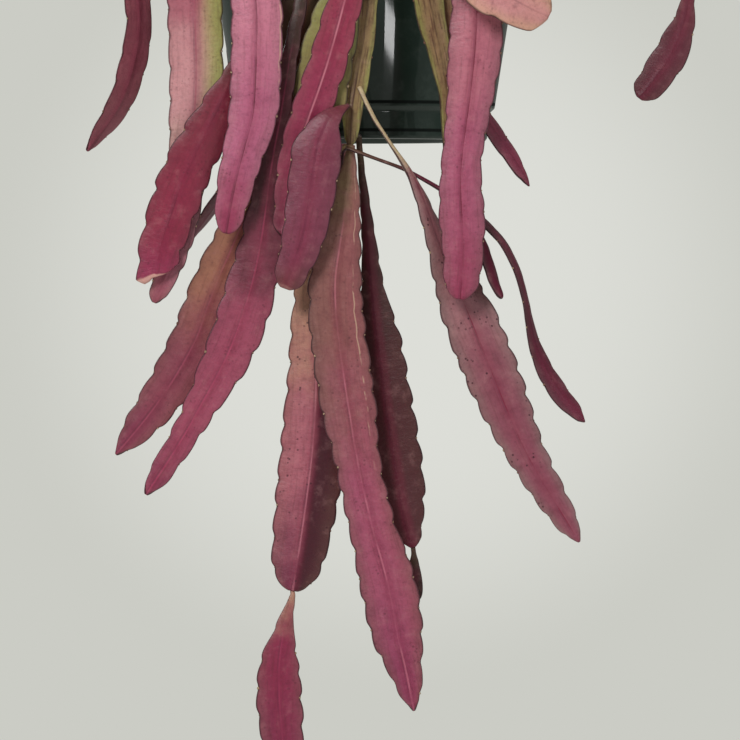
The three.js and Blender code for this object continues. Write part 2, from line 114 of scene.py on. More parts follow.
def softbox(name, place, target, size, watts, colour=(1, 1, 1)):
    data = bpy.data.lights.new(name, "AREA")
    data.shape = "RECTANGLE"
    data.size, data.size_y = size
    data.energy = watts
    data.color = colour
    lamp = bpy.data.objects.new(name, data)
    lamp.location = place
    aim = Vector(target) - Vector(place)
    lamp.rotation_euler = aim.to_track_quat("-Z", "Y").to_euler()
    bpy.context.collection.objects.link(lamp)


MIDDLE = (0, 0, POT_BASE)
softbox("key", (-1.0, -2.0, 1.1), MIDDLE, (0.9, 0.9), 54, (1, 0.985, 0.96))
softbox("fill", (1.8, -1.6, 0.2), MIDDLE, (1.4, 1.4), 9, (0.96, 0.98, 1))
softbox("top", (0.2, 0.8, 1.6), MIDDLE, (1.2, 1.2), 26)
softbox("back", (-1.2, 2.0, 0.6), MIDDLE, (1.4, 1.4), 30)
softbox("strip", (0.78, -2.12, POT_BASE - 0.573), (0.01, -0.056, POT_BASE + 0.04), (0.33, 0.029), 0.9)

FLOOR_DROP = 1.5
bpy.ops.object.select_all(action="DESELECT")
bpy.ops.mesh.primitive_circle_add(vertices=96, radius=7.7, fill_type="NGON", location=(0, 0, -FLOOR_DROP))
floor = bpy.context.object
floor.name = "floor"
floor_paint = bpy.data.materials.new("floor_paint")
floor_paint.use_nodes = True
floor_shader = floor_paint.node_tree.nodes["Principled BSDF"]
floor_shader.inputs["Base Color"].default_value = srgb(156, 157, 152)
floor_shader.inputs["Roughness"].default_value = 0.9
floor_shader.inputs["Specular IOR Level"].default_value = 0.0
floor_shader.inputs["Emission Color"].default_value = WALL_COLOUR
floor_shader.inputs["Emission Strength"].default_value = 0.62
floor.data.materials.append(floor_paint)

# Pot
# A thin shell of glossy dark green plastic, moulded in one piece with a stepped foot, a rolled rim and
# drain holes. The hanger's wires hook through holes under the rim.


def finish_mesh(piece, angle=40):
    """Applies the piece's place, shades it smooth and ties it to the frame."""
    bpy.ops.object.select_all(action="DESELECT")
    piece.select_set(True)
    bpy.context.view_layer.objects.active = piece
    bpy.ops.object.transform_apply(location=True, rotation=True, scale=True)
    bpy.ops.object.shade_smooth_by_angle(angle=math.radians(angle))
    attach(piece, "root")


def apply_all(piece):
    bpy.ops.object.select_all(action="DESELECT")
    piece.select_set(True)
    bpy.context.view_layer.objects.active = piece
    for modifier in list(piece.modifiers):
        bpy.ops.object.modifier_apply(modifier=modifier.name)


def lathe(name, outline, steps):
    """Draws an outline of (radius, height) as a chain of edges and spins it round the pot's axis."""
    bpy.ops.object.select_all(action="DESELECT")
    start = outline[0]
    bpy.ops.mesh.primitive_plane_add(size=MM, location=(start[0], 0, start[1]))
    piece = bpy.context.object
    piece.name = name
    bpy.ops.object.mode_set(mode="EDIT")
    bpy.ops.mesh.merge(type="CENTER")
    for here, there in zip(outline, outline[1:]):
        step = (there[0] - here[0], 0, there[1] - here[1])
        bpy.ops.mesh.extrude_region_move(TRANSFORM_OT_translate={"value": step})
    bpy.ops.mesh.select_all(action="SELECT")
    bpy.ops.mesh.spin(steps=steps, angle=math.tau, center=(0, 0, 0), axis=(0, 0, 1))
    bpy.ops.mesh.select_all(action="SELECT")
    bpy.ops.mesh.remove_doubles(threshold=0.01 * MM)
    bpy.ops.mesh.normals_make_consistent(inside=False)
    bpy.ops.object.mode_set(mode="OBJECT")
    return piece


def rounded(outline, radius, steps=4):
    """The outline with each corner between its ends turned into a short arc."""
    points = [Vector(outline[0])]
    for before, corner, after in zip(outline, outline[1:], outline[2:]):
        corner = Vector(corner)
        to_before = Vector(before) - corner
        to_after = Vector(after) - corner
        cut = min(radius, 0.45 * to_before.length, 0.45 * to_after.length)
        first = corner + to_before.normalized() * cut
        last = corner + to_after.normalized() * cut
        for i in range(steps + 1):
            share = i / steps
            points.append(first.lerp(corner, share).lerp(corner.lerp(last, share), share))
    points.append(Vector(outline[-1]))
    return points


pot_outline_mm = [
    (0, 2.5), (42, 2.5), (43.5, 0), (49, 0), (49.8, 1), (49.95, 2.4), (50.75, 10), (50.9, 11.4),
    (52.9, 13.3), (53.1, 14.5), (53.41, 16.5), (67.69, 108), (68, 110), (69.4, 111), (69.7, 118),
    (72.4, 118.6), (72.4, 121.2), (71.4, 122), (69, 122), (68.1, 120.6), (66.6, 110),
    (51.5, 13.8), (49.6, 11.8), (48.4, 4.9), (0, 4.9),
]
pot_outline = rounded([(r * MM, z * MM) for r, z in pot_outline_mm], 0.5 * MM)
POT_FACETS = 144
pot = lathe("pot_shell", pot_outline, POT_FACETS)
pot.location.z = POT_BASE


def plug(name, radius, depth, place, turn):
    """A round plug that a hole is cut with."""
    bpy.ops.object.select_all(action="DESELECT")
    bpy.ops.mesh.primitive_cylinder_add(
        vertices=32, radius=radius, depth=depth, location=place, rotation=turn,
    )
    bpy.context.object.name = name
    return bpy.context.object


DRAIN_REACH = 30 * MM
WIRE_HOLE_REACH = 68 * MM
WIRE_HOLE_HEIGHT = POT_BASE + 114.6 * MM
PLUG_LENGTH = 12 * MM
holes = []
for i in range(6):
    azimuth = math.radians(30 + 60 * i)
    place = (DRAIN_REACH * math.sin(azimuth), -DRAIN_REACH * math.cos(azimuth), POT_BASE + 4 * MM)
    holes.append(plug("drain_hole", 3.5 * MM, PLUG_LENGTH, place, (0, 0, 0)))
for azimuth in (60, 180, 300):
    azimuth = math.radians(azimuth)
    place = (WIRE_HOLE_REACH * math.sin(azimuth), -WIRE_HOLE_REACH * math.cos(azimuth), WIRE_HOLE_HEIGHT)
    holes.append(plug("wire_hole", 2.2 * MM, PLUG_LENGTH, place, (math.pi / 2, 0, azimuth)))
bpy.ops.object.select_all(action="DESELECT")
for hole in holes:
    hole.select_set(True)
bpy.context.view_layer.objects.active = holes[0]
bpy.ops.object.join()
cut = pot.modifiers.new("holes", "BOOLEAN")
cut.object = holes[0]
cut.solver = "EXACT"
apply_all(pot)
bpy.data.objects.remove(holes[0])


def group_node(tree, group, **values):
    node = tree.nodes.new("ShaderNodeGroup")
    node.node_tree = group
    for name, value in values.items():
        node.inputs[name.replace("_", " ")].default_value = value
    return node


def new_group(name, inputs, outputs):
    """A shader node group: inputs are name, kind and value; outputs are name and kind."""
    group = bpy.data.node_groups.new(name, "ShaderNodeTree")
    for label, kind, value in inputs:
        socket = group.interface.new_socket(label, in_out="INPUT", socket_type=f"NodeSocket{kind}")
        socket.default_value = value
    for label, kind in outputs:
        group.interface.new_socket(label, in_out="OUTPUT", socket_type=f"NodeSocket{kind}")
    entry = group.nodes.new("NodeGroupInput")
    leave = group.nodes.new("NodeGroupOutput")
    return group, entry, leave


def maths(tree, operation, first, second=None, third=None, clamp=False):
    """A Math node: each value is a number or another node's socket."""
    node = tree.nodes.new("ShaderNodeMath")
    node.operation = operation
    node.use_clamp = clamp
    for slot, value in zip(node.inputs, (first, second, third)):
        if value is None:
            continue
        if isinstance(value, (int, float)):
            slot.default_value = value
        else:
            tree.links.new(value, slot)
    return node.outputs["Value"]


def blended(tree, mask, first, second, kind="MIX"):
    """A Mix node for colours: each is a colour or another node's socket."""
    node = tree.nodes.new("ShaderNodeMix")
    node.data_type = "RGBA"
    node.blend_type = kind
    for label, value in (("Factor", mask), ("A", first), ("B", second)):
        slot = next(s for s in node.inputs if s.name == label and s.enabled)
        if isinstance(value, (int, float, tuple)):
            slot.default_value = value
        else:
            tree.links.new(value, slot)
    return next(s for s in node.outputs if s.enabled)


def noise_value(tree, vector, scale, detail=3, roughness=0.5):
    node = tree.nodes.new("ShaderNodeTexNoise")
    node.inputs["Scale"].default_value = scale
    node.inputs["Detail"].default_value = detail
    node.inputs["Roughness"].default_value = roughness
    tree.links.new(vector, node.inputs["Vector"])
    return node.outputs["Fac"]


def mask_between(tree, value, low, high):
    """0 where the value is under low, 1 where it is over high, smooth between."""
    node = tree.nodes.new("ShaderNodeMapRange")
    node.interpolation_type = "SMOOTHSTEP"
    node.inputs["From Min"].default_value = low
    if isinstance(high, (int, float)):
        node.inputs["From Max"].default_value = high
    else:
        tree.links.new(high, node.inputs["From Max"])
    tree.links.new(value, node.inputs["Value"])
    return node.outputs["Result"]


def principled(name, **values):
    """A new material and its shader, with constants set on the shader's own sockets."""
    material = bpy.data.materials.new(name)
    material.use_nodes = True
    shader = material.node_tree.nodes["Principled BSDF"]
    for label, value in values.items():
        shader.inputs[label.replace("_", " ")].default_value = value
    return material, material.node_tree, shader


def bumped(tree, shader, height, distance, strength=1.0):
    bump = tree.nodes.new("ShaderNodeBump")
    bump.inputs["Distance"].default_value = distance
    bump.inputs["Strength"].default_value = strength
    tree.links.new(height, bump.inputs["Height"])
    tree.links.new(bump.outputs["Normal"], shader.inputs["Normal"])


green_plastic, tree, shader = principled("green_plastic", Specular_IOR_Level=0.12, Coat_Roughness=0.03)
place = tree.nodes.new("ShaderNodeTexCoord").outputs["Object"]
cloudy = noise_value(tree, place, 38, 4)
fine = noise_value(tree, place, 900, 2)
dusty = mask_between(tree, noise_value(tree, place, 140, 5, 0.65), 0.5, 0.75)
colour = blended(tree, cloudy, srgb(27, 40, 36), srgb(42, 56, 50))
colour = blended(tree, maths(tree, "MULTIPLY", dusty, 0.12), colour, srgb(96, 106, 100))
# Painted shade darkens the two steps of the foot, where shadow lines lie, and the gloss is taken off them.
axes = tree.nodes.new("ShaderNodeSeparateXYZ")
tree.links.new(place, axes.inputs["Vector"])
step_shade_and_matte = 0
for step_height in (1.0 * MM, 12.3 * MM):
    from_step = maths(tree, "ABSOLUTE", maths(tree, "SUBTRACT", axes.outputs["Z"], POT_BASE + step_height))
    step_shade_and_matte = maths(tree, "MAXIMUM", mask_between(tree, from_step, 0.9 * MM, 0.4 * MM), step_shade_and_matte)
colour = blended(tree, maths(tree, "MULTIPLY", step_shade_and_matte, 0.85), colour, srgb(7, 10, 9))
tree.links.new(maths(tree, "MULTIPLY_ADD", step_shade_and_matte, -0.35, 0.35), shader.inputs["Coat Weight"])
tree.links.new(colour, shader.inputs["Base Color"])
rough = maths(tree, "MULTIPLY_ADD", step_shade_and_matte, 0.5, maths(tree, "MULTIPLY_ADD", dusty, 0.25, 0.28))
tree.links.new(rough, shader.inputs["Roughness"])
bumped(tree, shader, maths(tree, "ADD", maths(tree, "MULTIPLY", cloudy, 2.0), fine), 0.06 * MM, 0.5)
pot.data.materials.append(green_plastic)
finish_mesh(pot, 30)
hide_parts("pot")

# Soil
# Dark, coarse potting mix for epiphytes, level with a lip under the pot's rim: peat and bark with
# grains of white perlite lying on it.
SOIL_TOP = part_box("soil")[1].z
SOIL_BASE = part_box("soil")[0].z
soil_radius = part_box("soil")[1].x
soil_outline = [(0, SOIL_BASE), (48.05 * MM, SOIL_BASE)]
soil_outline += [(49.25 * MM, POT_BASE + 12 * MM), (50.95 * MM, POT_BASE + 14.2 * MM)]
soil_outline += [(soil_radius * i / 44, SOIL_TOP - 1.2 * MM) for i in range(44, -1, -1)]
SOIL_FACETS = 168
soil = lathe("soil_surface", soil_outline, SOIL_FACETS)
top = soil.vertex_groups.new(name="top")
top.add([v.index for v in soil.data.vertices if v.co.z > SOIL_TOP - 2 * MM], 1.0, "REPLACE")
for size, strength in ((9 * MM, 3.2 * MM), (2.6 * MM, 1.6 * MM)):
    lumps = bpy.data.textures.new("lumps", "CLOUDS")
    lumps.noise_scale = size
    lumps.noise_depth = 3
    push = soil.modifiers.new("lumps", "DISPLACE")
    push.texture = lumps
    push.direction = "Z"
    push.strength = strength
    push.mid_level = 0.5
    push.vertex_group = "top"
apply_all(soil)
potting_soil, tree, shader = principled("potting_soil", Roughness=0.95)
place = tree.nodes.new("ShaderNodeTexCoord").outputs["Object"]
crumbs = noise_value(tree, place, 620, 6, 0.7)
colour = blended(tree, mask_between(tree, crumbs, 0.36, 0.66), srgb(34, 25, 19), srgb(92, 70, 52))
tree.links.new(colour, shader.inputs["Base Color"])
bumped(tree, shader, crumbs, 1.2 * MM)
soil.data.materials.append(potting_soil)
finish_mesh(soil, 60)
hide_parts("soil")


def scattered(name, count, colours, long, flat, seed):
    """Grains of about one size lying on the soil, joined in one piece."""
    draw = random.Random(seed)
    bpy.ops.object.select_all(action="DESELECT")
    bpy.ops.mesh.primitive_ico_sphere_add(subdivisions=1, radius=0.5)
    grain = bpy.context.object
    grain.name = name
    shapes = [grain]
    for i in range(count - 1):
        copy = grain.copy()
        copy.data = grain.data.copy()
        bpy.context.collection.objects.link(copy)
        shapes.append(copy)
    for shape in shapes:
        reach = (soil_radius - 3 * MM) * math.sqrt(draw.random())
        azimuth = draw.uniform(0, math.tau)
        size = draw.uniform(*long)
        for vertex in shape.data.vertices:
            vertex.co *= draw.uniform(0.8, 1.2)
        shape.scale = (size, size * draw.uniform(0.45, 0.9), size * flat)
        shape.rotation_euler = (draw.uniform(-0.4, 0.4), draw.uniform(-0.4, 0.4), draw.uniform(0, math.tau))
        lift = SOIL_TOP - 0.9 * MM + 0.3 * size * flat
        shape.location = (reach * math.sin(azimuth), reach * math.cos(azimuth), lift)
    bpy.ops.object.select_all(action="DESELECT")
    for shape in shapes:
        shape.select_set(True)
    bpy.context.view_layer.objects.active = grain
    bpy.ops.object.join()
    finish, tree, shader = principled(name + "_finish", Roughness=0.9)
    place = tree.nodes.new("ShaderNodeTexCoord").outputs["Object"]
    grainy = mask_between(tree, noise_value(tree, place, 260, 4, 0.6), 0.35, 0.65)
    tree.links.new(blended(tree, grainy, *colours), shader.inputs["Base Color"])
    bumped(tree, shader, noise_value(tree, place, 1500, 3), 0.4 * MM)
    grain.data.materials.append(finish)
    finish_mesh(grain, 25)


scattered("bark_chips", 420, (srgb(58, 36, 22), srgb(124, 84, 52)), (3.5 * MM, 9 * MM), 0.32, 3)
scattered("perlite_grains", 170, (srgb(196, 192, 182), srgb(226, 224, 216)), (1.6 * MM, 3.6 * MM), 0.8, 5)

# Hanger
# Three galvanised wires that hook outwards through the holes under the rim and meet in the eye of a
# thicker wire hook. Each is bent from one length of round wire.


def copy_of(node, name):
    """A merged copy of a CAD node's mesh as a new piece."""
    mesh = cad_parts[node].data.copy()
    piece = bpy.data.objects.new(name, mesh)
    bpy.context.collection.objects.link(piece)
    piece.matrix_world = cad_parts[node].matrix_world
    piece.data.materials.clear()
    bpy.ops.object.select_all(action="DESELECT")
    piece.select_set(True)
    bpy.context.view_layer.objects.active = piece
    bpy.ops.object.mode_set(mode="EDIT")
    bpy.ops.mesh.select_all(action="SELECT")
    bpy.ops.mesh.remove_doubles(threshold=MERGE_DISTANCE)
    bpy.ops.object.mode_set(mode="OBJECT")
    return piece


steel_wire, tree, shader = principled("steel_wire", Metallic=1.0, Roughness=0.4)
place = tree.nodes.new("ShaderNodeTexCoord").outputs["Object"]
spangle = noise_value(tree, place, 420, 4, 0.6)
colour = blended(tree, mask_between(tree, spangle, 0.3, 0.7), srgb(120, 122, 122), srgb(178, 180, 180))
tree.links.new(colour, shader.inputs["Base Color"])
tree.links.new(maths(tree, "ADD", maths(tree, "MULTIPLY", spangle, 0.3), 0.22), shader.inputs["Roughness"])
bumped(tree, shader, spangle, 0.05 * MM)

# A wire's solid has flat sides, and smoothing draws its sides in, so each is fattened by what it loses.
WIRES = {"hook": 0.16, "hanger_wire_1": 0.17, "hanger_wire_2": 0.17, "hanger_wire_3": 0.17}
for node, fatten in WIRES.items():
    wire = copy_of(node, node + "_round")
    bpy.ops.object.mode_set(mode="EDIT")
    bpy.ops.mesh.select_all(action="SELECT")
    bpy.ops.mesh.tris_convert_to_quads(face_threshold=math.radians(60), shape_threshold=math.radians(120))
    bpy.ops.transform.shrink_fatten(value=fatten * MM)
    bpy.ops.object.mode_set(mode="OBJECT")
    smooth = wire.modifiers.new("round", "SUBSURF")
    smooth.levels = smooth.render_levels = 2
    apply_all(wire)
    wire.data.materials.append(steel_wire)
    finish_mesh(wire, 60)
    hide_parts(node)

# Flat stems
# Each flat segment of the plant is a thin, leathery blade with a raised midrib and a row of blunt
# teeth along each margin. A pale tuft of wool sits in each notch, and the blade grows from a thin neck.


ROOT = 2.5 * MM
FARTHEST_PARENT = 7 * MM


class Line:
    """The middle line of a stem: its centre, half width and axis across at places from base to tip."""

    def __init__(self, centres, halves, across, tip):
        self.centres, self.halves, self.across, self.tip = centres, halves, across, tip
        self.at = [0.0]
        for here, there in zip(centres, centres[1:]):
            self.at.append(self.at[-1] + (there - here).length)
        self.length = self.at[-1]
        self.anchor = (centres[0] - centres[1]).normalized() * ROOT

    def read(self, values, s):
        """A smooth reading of a list of values, one for each place, at s metres from the base."""
        i = max(j for j in range(len(self.at) - 1) if self.at[j] <= s or j == 0)
        share = (s - self.at[i]) / (self.at[i + 1] - self.at[i])
        last = len(values) - 1
        a, b, c, d = (values[min(max(k, 0), last)] for k in (i - 1, i, i + 1, i + 2))
        share2 = share * share
        share3 = share2 * share
        return 0.5 * (
            2 * b + (c - a) * share + (2 * a - 5 * b + 4 * c - d) * share2 + (3 * b - a - 3 * c + d) * share3
        )


def rings_from(vertex):
    """The vertices one edge away, two edges away and so on, if they come in sixes all the way."""
    rings = [[vertex]]
    seen = {vertex}
    while True:
        ring = {e.other_vert(v) for v in rings[-1] for e in v.link_edges} - seen
        if not ring:
            return [[v.co.copy() for v in r] for r in rings] if len(rings) > 3 else None
        if len(ring) != 6:
            return None
        seen |= ring
        rings.append(list(ring))


def tree_of(mesh):
    """A tree that finds the nearest point of a mesh."""
    corners = [vertex.co for vertex in mesh.vertices]
    return BVHTree.FromPolygons(corners, [tuple(face.vertices) for face in mesh.polygons])


stem_nodes = sorted(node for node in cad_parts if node.startswith(("stem_", "segment_")))
stem_trees = {node: tree_of(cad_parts[node].data) for node in stem_nodes}


def line_of(node):
    """The line of a stem's solid, whose rings narrow to a point over the last three steps.

    Its neck reaches back from the base into the nearest other stem."""
    shape = bmesh.new()
    shape.from_mesh(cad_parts[node].data)
    shape.transform(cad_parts[node].matrix_world)
    bmesh.ops.remove_doubles(shape, verts=shape.verts, dist=MERGE_DISTANCE)
    rings = next(r for r in map(rings_from, shape.verts) if r)
    shape.free()
    centres, halves, across = [], [], []
    for ring in reversed(rings[1:]):
        widest = max((a - b for i, a in enumerate(ring) for b in ring[i + 1:]), key=lambda gap: gap.length)
        before = across[-1] if across else Vector((1, 0.3, 0))
        if widest.dot(before) < 0:
            widest = -widest
        centres.append(sum(ring, Vector()) / len(ring))
        halves.append(widest.length / 2)
        across.append(widest.normalized())
    line = Line(centres + rings[0], halves + halves[-1:], across + across[-1:], 0)
    line.tip = line.length - line.at[-4]
    for i in (-3, -2):
        past = 1 - (line.length - line.at[i]) / line.tip
        line.halves[i] /= math.sqrt(1 - past * past)
    line.halves[-1] = line.halves[-2]
    base = line.centres[0]
    spots = [other.find_nearest(base)[0] for name, other in stem_trees.items() if name != node]
    to_parent = min((spot - base for spot in spots), key=lambda gap: gap.length)
    if node.startswith("segment_") and to_parent.length < FARTHEST_PARENT:
        line.anchor = to_parent + to_parent.normalized() * 0.8 * MM
    return line


FINE_ROW = 1.45 * MM
COARSE_ROW = 3.4 * MM
# Just short of a line's end, so that a direction can still be read there
ALMOST_ALL = 0.9999
# Places across the blade, from margin to midrib, closer together where the midrib stands up
ACROSS = (1, 0.93, 0.74, 0.48, 0.22, 0.07)
COLUMNS = [-v for v in ACROSS] + [0] + list(reversed(ACROSS))


def thickness(width):
    if width < 3 * MM:
        return 0.8 * width
    return max(1.5 * MM, 2.4 * MM - 0.16 * (width - 3 * MM))


def tooth(s, pitch, phase, seed):
    """How far out the margin stands, 0 in a notch and 1 on a tooth, s metres along it."""
    place = s / pitch + phase + 0.35 * noise.noise(Vector((seed, s / pitch * 0.7, 3.1)))
    part = place - math.floor(place)
    if part < 0.86:
        return math.sin(part / 0.86 * math.pi * 0.62) ** 0.75
    return 0.94 * (1 - ((part - 0.86) / 0.14)) ** 0.8


tufts = []


def blade(name, line, seed, pitch=13, depth=1.5, rib=0.35, cup=0.0, wave=0.7, blunt=2, point=1, torn=0,
          row=FINE_ROW):
    """Lays a grid along a line, notches its margins, and gives it a midrib, waves and a thickness."""
    pitch, depth, rib, wave = (v * MM for v in (pitch, depth, rib, wave))
    rows = max(12, round((line.length + ROOT) / row))
    bpy.ops.object.select_all(action="DESELECT")
    bpy.ops.mesh.primitive_grid_add(x_subdivisions=len(COLUMNS) - 1, y_subdivisions=rows, size=2)
    piece = bpy.context.object
    piece.name = name
    mesh = piece.data
    skin = mesh.uv_layers[0]
    skin.name = "skin"
    span = mesh.uv_layers.new(name="span")
    wear = mesh.uv_layers.new(name="wear")
    thick = piece.vertex_groups.new(name="thick")
    phases = [(seed * 0.37) % 1, (seed * 0.37 + 0.5) % 1]
    most = max(thickness(2 * w) for w in line.halves)
    places = {}
    margins = {-1: [], 1: []}
    for vertex in mesh.vertices:
        column = round((vertex.co.x + 1) / 2 * (len(COLUMNS) - 1))
        v = COLUMNS[column]
        s = -ROOT + (line.length - 0.015 * line.tip + ROOT) * round((vertex.co.y + 1) / 2 * rows) / rows
        near_end = max(0, 1 - (line.length - s) / (25 * MM)) ** 2
        ragged = 0.5 + 0.5 * v + 0.3 * noise.noise(Vector((seed, 2.7 * v, 0.2)))
        inside = min(max(s, 0), line.length * ALMOST_ALL) - torn * MM * ragged * near_end
        centre = line.read(line.centres, inside)
        across = line.read(line.across, inside).normalized()
        ahead = line.read(line.centres, min(inside + 0.5 * MM, line.length * ALMOST_ALL))
        behind = line.read(line.centres, max(inside - 0.5 * MM, 0))
        along = (ahead - behind).normalized()
        across = (across - along * across.dot(along)).normalized()
        out = along.cross(across)
        if s < 0:
            centre = centre - line.anchor * s / ROOT
        half = line.read(line.halves, inside)
        past = max(0, (s - (line.length - point * line.tip)) / (point * line.tip))
        end = max(0, 1 - past ** blunt) ** (1 / blunt)
        side = 0 if v < 0 else 1
        step = tooth(s, pitch, phases[side], seed + 9 * side)
        bite = min(depth, 0.22 * half) * (1 - step) * min(1, max(0, s) / (6 * MM)) * end
        reach = v * (half * end + 0.3 * min(depth, 0.22 * half) * end - bite * abs(v) ** 1.5)
        wide = min(1, half / (8 * MM))
        ridge = rib * wide * math.exp(-((reach / (0.9 * MM)) ** 2))
        ripple = noise.noise(Vector((seed * 1.7 + 5 * side, s / (16 * MM), 0.4)))
        swell = noise.noise(Vector((seed * 2.3, s / (34 * MM), reach / (20 * MM))))
        lift = ridge + wave * wide * (1.6 * ripple * abs(v) ** 2.5 + 0.9 * swell)
        lift += cup * MM * wide * (v * v - 0.3)
        vertex.co = centre + across * reach + out * lift
        round_off = 0.38 + 0.62 * (1 - abs(v) ** 3)
        thick.add([vertex.index], round_off * thickness(2 * half * max(end, 0.4)) / most, "REPLACE")
        places[vertex.index] = (v, s, reach, 1 - step)
        if abs(v) == 1 and 6 * MM < s < line.length - 3 * MM and half > 4 * MM:
            margins[v].append((step, vertex.co.copy(), out))
    for margin in margins.values():
        for before, here, after in zip(margin, margin[1:], margin[2:]):
            if here[0] < before[0] and here[0] <= after[0]:
                tufts.append(here[1:])
    for loop in mesh.loops:
        v, s, reach, notch = places[loop.vertex_index]
        wear.data[loop.index].uv = (notch, 0)
        skin.data[loop.index].uv = (0.5 + 0.5 * v, max(s, 0) / line.length)
        span.data[loop.index].uv = (reach, s)
    wall = piece.modifiers.new("thickness", "SOLIDIFY")
    wall.thickness = most
    wall.offset = 0
    wall.vertex_group = "thick"
    smooth = piece.modifiers.new("smooth", "SUBSURF")
    smooth.levels = smooth.render_levels = 1
    apply_all(piece)
    return piece


# The skin's colours run from the neck to the tip. The flesh is greyer towards the margins, which end in a
# dark line, and the midrib is a line of its own colour with a painted shadow along one side. One side may be
# tinted, and a dark side colour is a painted shadow; a torn end is scarred, and the whole is mottled,
# speckled and finely pitted.
skin_group, entry, leave = new_group("stem_skin", [
    ("Neck", "Color", srgb(150, 120, 90)), ("Upper", "Color", srgb(180, 110, 120)),
    ("Lower", "Color", srgb(160, 80, 100)), ("Tip", "Color", srgb(130, 60, 80)),
    ("Side", "Color", srgb(170, 160, 90)), ("Side Amount", "Float", 0.0), ("Side Reach", "Float", 0.9),
    ("Edge", "Color", srgb(118, 92, 88)), ("Edge Amount", "Float", 0.35),
    ("Rib", "Color", srgb(90, 24, 44)), ("Rib Amount", "Float", 0.55),
    ("Speckle", "Float", 0.3), ("Mottle", "Float", 0.5), ("Scar", "Float", 0.0), ("Delay", "Float", 0.0),
    ("Flush", "Float", 0.3), ("Streak", "Float", 0.2),
    ("Crack", "Float", 0.0), ("Crack Place", "Float", 0.6),
], [("Colour", "Color"), ("Roughness", "Float"), ("Height", "Float")])
tree = skin_group
place = tree.nodes.new("ShaderNodeTexCoord").outputs["Object"]


def map_axis(name, axis):
    """One axis of a UV map of the blade's."""
    coordinates = tree.nodes.new("ShaderNodeUVMap")
    coordinates.uv_map = name
    axes = tree.nodes.new("ShaderNodeSeparateXYZ")
    tree.links.new(coordinates.outputs["UV"], axes.inputs["Vector"])
    return axes.outputs[axis]


def stained(mask, amount, colour, stain):
    """The colour with a stain of the given amount where the mask is."""
    return blended(tree, maths(tree, "MULTIPLY", mask, amount), colour, stain)


across = maths(tree, "MULTIPLY_ADD", map_axis("skin", "X"), 2, -1)
edge = maths(tree, "ABSOLUTE", across)
from_rib = maths(tree, "ABSOLUTE", map_axis("span", "X"))
drift = maths(tree, "MULTIPLY_ADD", noise_value(tree, place, 55, 4, 0.6), 0.4, -0.2)
down = maths(tree, "SUBTRACT", maths(tree, "ADD", map_axis("skin", "Y"), drift), entry.outputs["Delay"])
cloudy = noise_value(tree, place, 210, 5, 0.62)
grain = noise_value(tree, place, 700, 4, 0.65)
colour = blended(tree, mask_between(tree, down, 0.0, 0.22), entry.outputs["Neck"], entry.outputs["Upper"])
colour = blended(tree, mask_between(tree, down, 0.3, 0.65), colour, entry.outputs["Lower"])
colour = blended(tree, mask_between(tree, down, 0.72, 1.0), colour, entry.outputs["Tip"])
# The Side colour stains one side; on the long left blade it is a painted shadow cast by the blade beside it.
sideways = maths(tree, "MULTIPLY_ADD", drift, 0.6, across)
sideways = mask_between(tree, sideways, -0.1, entry.outputs["Side Reach"])
colour = stained(sideways, entry.outputs["Side Amount"], colour, entry.outputs["Side"])
greyed = mask_between(tree, maths(tree, "ADD", edge, drift), 0.35, 1.05)
colour = stained(greyed, entry.outputs["Edge Amount"], colour, entry.outputs["Edge"])
light_patch = maths(tree, "MULTIPLY", mask_between(tree, cloudy, 0.5, 0.74), entry.outputs["Mottle"])
dark_patch = maths(tree, "MULTIPLY", mask_between(tree, cloudy, 0.5, 0.28), entry.outputs["Mottle"])
colour = stained(light_patch, 0.24, colour, srgb(206, 150, 150))
colour = stained(dark_patch, 0.5, colour, srgb(78, 26, 42))
colour = stained(mask_between(tree, grain, 0.55, 0.35), 0.16, colour, srgb(80, 26, 44))
past_neck = mask_between(tree, down, 0.08, 0.25)
flushed = maths(tree, "MULTIPLY", mask_between(tree, from_rib, 3.6 * MM, 0.6 * MM), past_neck)
colour = stained(flushed, entry.outputs["Flush"], colour, srgb(126, 24, 60))
streaks = tree.nodes.new("ShaderNodeMapping")
streaks.inputs["Scale"].default_value = (900, 60, 1)
span_map = tree.nodes.new("ShaderNodeUVMap")
span_map.uv_map = "span"
tree.links.new(span_map.outputs["UV"], streaks.inputs["Vector"])
streaked = mask_between(tree, noise_value(tree, streaks.outputs["Vector"], 1, 3, 0.6), 0.48, 0.68)
colour = stained(streaked, entry.outputs["Streak"], colour, srgb(72, 34, 32))
speck = tree.nodes.new("ShaderNodeTexVoronoi")
speck.inputs["Scale"].default_value = 520
tree.links.new(place, speck.inputs["Vector"])
dot = mask_between(tree, speck.outputs["Distance"], 0.3, 0.16)
some = mask_between(tree, noise_value(tree, place, 120, 2), 0.5, 0.62)
colour = stained(maths(tree, "MULTIPLY", dot, some), entry.outputs["Speckle"], colour, srgb(62, 22, 34))
rib_line = mask_between(tree, from_rib, 0.42 * MM, 0.12 * MM)
rib_fade = mask_between(tree, noise_value(tree, place, 60, 2), 0.35, 0.6)
rib_fade = maths(tree, "MULTIPLY", maths(tree, "MULTIPLY_ADD", rib_fade, 0.8, 0.2), past_neck)
colour = stained(maths(tree, "MULTIPLY", rib_line, rib_fade), entry.outputs["Rib Amount"], colour,
                 entry.outputs["Rib"])
